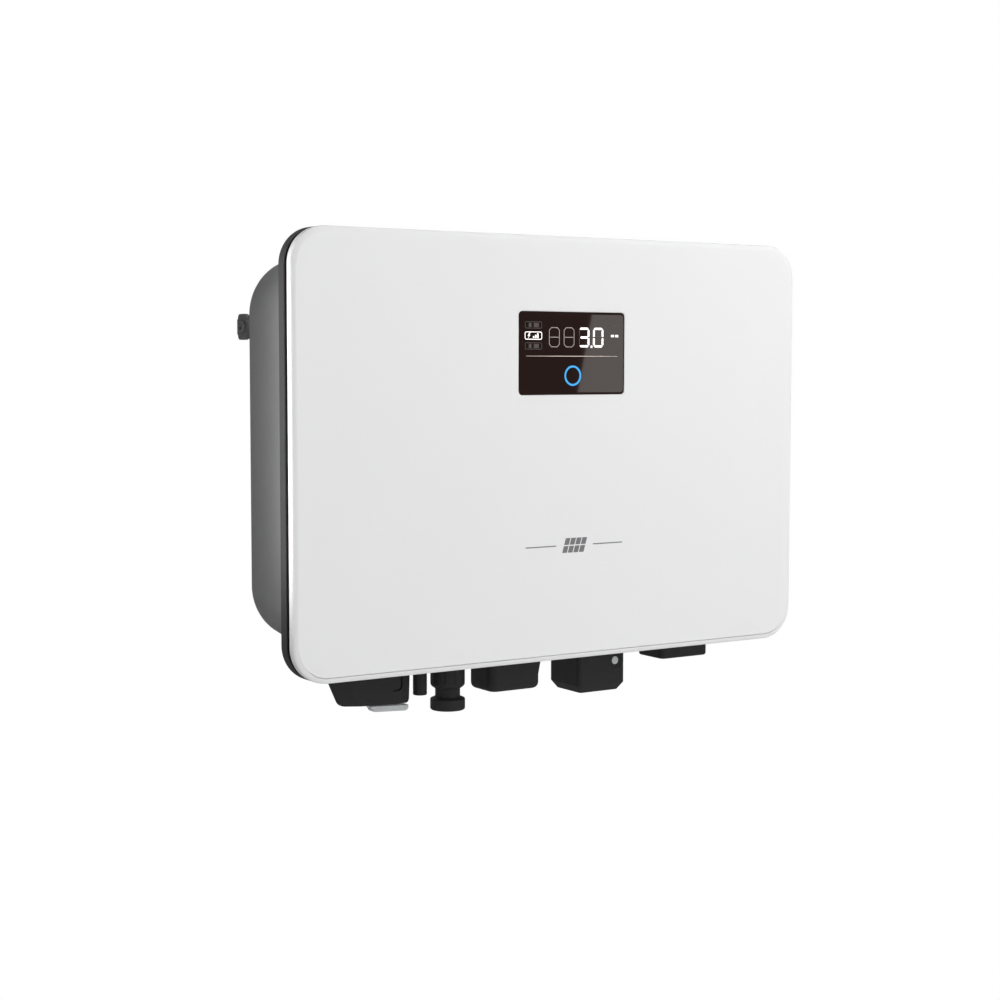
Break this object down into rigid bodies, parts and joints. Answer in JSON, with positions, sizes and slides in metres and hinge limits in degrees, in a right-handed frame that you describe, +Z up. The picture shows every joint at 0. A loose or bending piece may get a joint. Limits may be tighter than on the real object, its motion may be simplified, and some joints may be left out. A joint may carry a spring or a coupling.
{
  "type": "string inverter",
  "caption": "Wall-hung string inverter: tapered finned housing, white rounded front cover with a dark display window, DC switch and plug-in fittings underneath, on a wall bracket.",
  "frame": {"origin": "centre of the wall bracket's back face, in the plane of the wall", "axes": "+X to the right seen from the front, +Y into the wall, +Z up; the front cover faces -Y"},
  "size_m": [0.32, 0.12, 0.2544],
  "materials": {
    "cover_white": "fine satin",
    "frame_grey": "matte moulded",
    "housing_grey": "powder coated die casting",
    "black_plastic": "fine moulded texture",
    "seal_rubber": "matte",
    "window_black": "polished",
    "indicator_blue": "diffusing",
    "tab_grey": "satin moulded",
    "bracket_steel": "powder coated",
    "screw_steel": "plain",
    "board_green": "solder mask over glass laminate",
    "copper": "lacquered",
    "capacitor_sleeve": "shrink sleeve",
    "ferrite": "matte",
    "relay_blue": "moulded",
    "lead_red": "cable sheath",
    "lead_black": "cable sheath",
    "ribbon_grey": "cable sheath",
    "pad_grey": "matte"
  },
  "bodies": {
    "bracket": {"wall_bracket": "bracket_steel", "security_screw_left": "bracket_steel", "security_screw_right": "bracket_steel"},
    "inverter": {"hanger_rail": "bracket_steel", "hanger_screw_left": "screw_steel", "hanger_screw_right": "screw_steel", "front_cover": "cover_white", "cover_seal": "seal_rubber", "front_frame": "frame_grey", "display_window": "window_black", "digit_module": "black_plastic", "indicator_light_guide": "indicator_blue", "display_board": "board_green", "display_ribbon": "ribbon_grey", "rear_housing": "housing_grey", "housing_seal": "seal_rubber", "cover_screw_1": "screw_steel", "cover_screw_2": "screw_steel", "cover_screw_3": "screw_steel", "cover_screw_4": "screw_steel", "dc_switch_body": "black_plastic", "dc_switch_ring": "black_plastic", "pv_receptacle_negative": "black_plastic", "pv_receptacle_positive": "black_plastic", "pv_nut_negative": "black_plastic", "pv_nut_positive": "black_plastic", "pv_contact_negative": "copper", "pv_contact_positive": "copper", "pv_lead_negative": "lead_black", "pv_lead_positive": "lead_red", "ac_socket": "black_plastic", "dongle_socket": "black_plastic", "com_socket": "black_plastic", "vent_plug": "black_plastic", "earth_washer": "screw_steel", "earth_screw": "screw_steel", "power_board": "board_green", "board_screw_1": "screw_steel", "board_screw_2": "screw_steel", "board_screw_3": "screw_steel", "boost_inductor": "housing_grey", "filter_inductor": "copper", "emi_choke": "ferrite", "dc_link_capacitor_1": "capacitor_sleeve", "dc_link_capacitor_2": "capacitor_sleeve", "grid_relay_1": "relay_blue", "grid_relay_2": "relay_blue", "power_module": "black_plastic", "thermal_pad": "pad_grey", "control_board": "board_green"},
    "dc_switch": {"dc_switch_handle": "black_plastic", "dc_switch_shaft": "screw_steel"},
    "lock_tab": {"dc_switch_lock_tab": "tab_grey"},
    "ac_plug": {"ac_plug_shell": "black_plastic", "ac_plug_insert": "tab_grey", "ac_plug_seal": "seal_rubber"},
    "dongle": {"dongle_shell": "black_plastic", "dongle_board": "board_green", "dongle_status_lens": "tab_grey"},
    "com_cap": {"com_cap": "black_plastic"}
  },
  "joints": [
    {"name": "lift_off_bracket", "type": "slide", "parent": "bracket", "child": "inverter", "axis": [0, 0, 1], "range_m": [0, 0.012]},
    {"name": "dc_switch_turn", "type": "hinge", "parent": "inverter", "child": "dc_switch", "pos_m": [-0.0933, -0.074, -0.1732], "axis": [0, 0, 1], "range_deg": [0, 90]},
    {"name": "lock_tab_slide", "type": "slide", "parent": "dc_switch", "child": "lock_tab", "axis": [0, 0, -1], "range_m": [0, 0.008]},
    {"name": "ac_plug_pull", "type": "slide", "parent": "inverter", "child": "ac_plug", "axis": [0, 0, -1], "range_m": [0, 0.016]},
    {"name": "dongle_pull", "type": "slide", "parent": "inverter", "child": "dongle", "axis": [0, 0, -1], "range_m": [0, 0.012]},
    {"name": "com_cap_pull", "type": "slide", "parent": "inverter", "child": "com_cap", "axis": [0, 0, -1], "range_m": [0, 0.014]}
  ]
}
